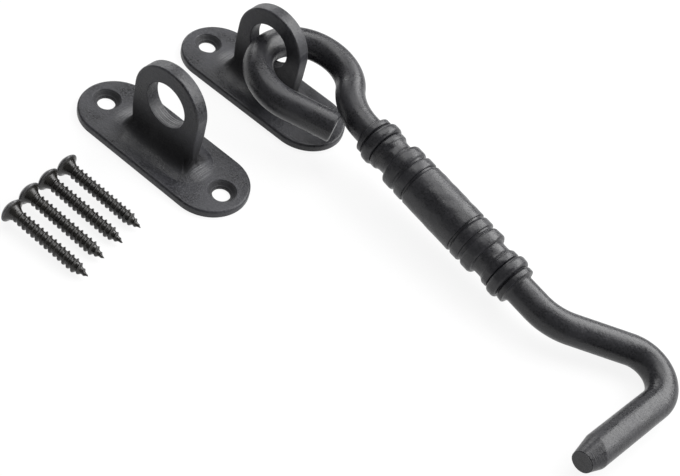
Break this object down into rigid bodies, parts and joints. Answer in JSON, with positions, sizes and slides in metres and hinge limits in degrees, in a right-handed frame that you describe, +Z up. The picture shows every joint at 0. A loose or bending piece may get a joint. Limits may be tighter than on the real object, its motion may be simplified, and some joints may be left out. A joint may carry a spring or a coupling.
{
  "type": "cabin hook latch",
  "caption": "Door hook latch: a bent bar hook with a turned grip hangs in a screwed-down eye plate and drops into a matching catch plate's eye.",
  "frame": {"origin": "middle of the hook plate's underside, on the surface that the whole set lies on", "axes": "+X along both plates, from the hook plate towards the hook's far end; +Y from the catch plate towards the hook plate; +Z up, away from the surface"},
  "size_m": [0.1453, 0.0898, 0.0244],
  "materials": {
    "plate_coat": "satin black coat on cast metal",
    "bar_coat": "satin black coat on bent and turned bar",
    "screw_coat": "oiled black coat on screw steel"
  },
  "bodies": {
    "base": {"hook_plate": "plate_coat", "catch_plate": "plate_coat", "wood_screws": "screw_coat"},
    "hook": {"hook": "bar_coat"}
  },
  "joints": [
    {"name": "hook_swing", "type": "hinge", "parent": "base", "child": "hook", "pos_m": [-0.0006, 0, 0.01352], "axis": [0, -1, 0], "range_deg": [0, 188]}
  ]
}
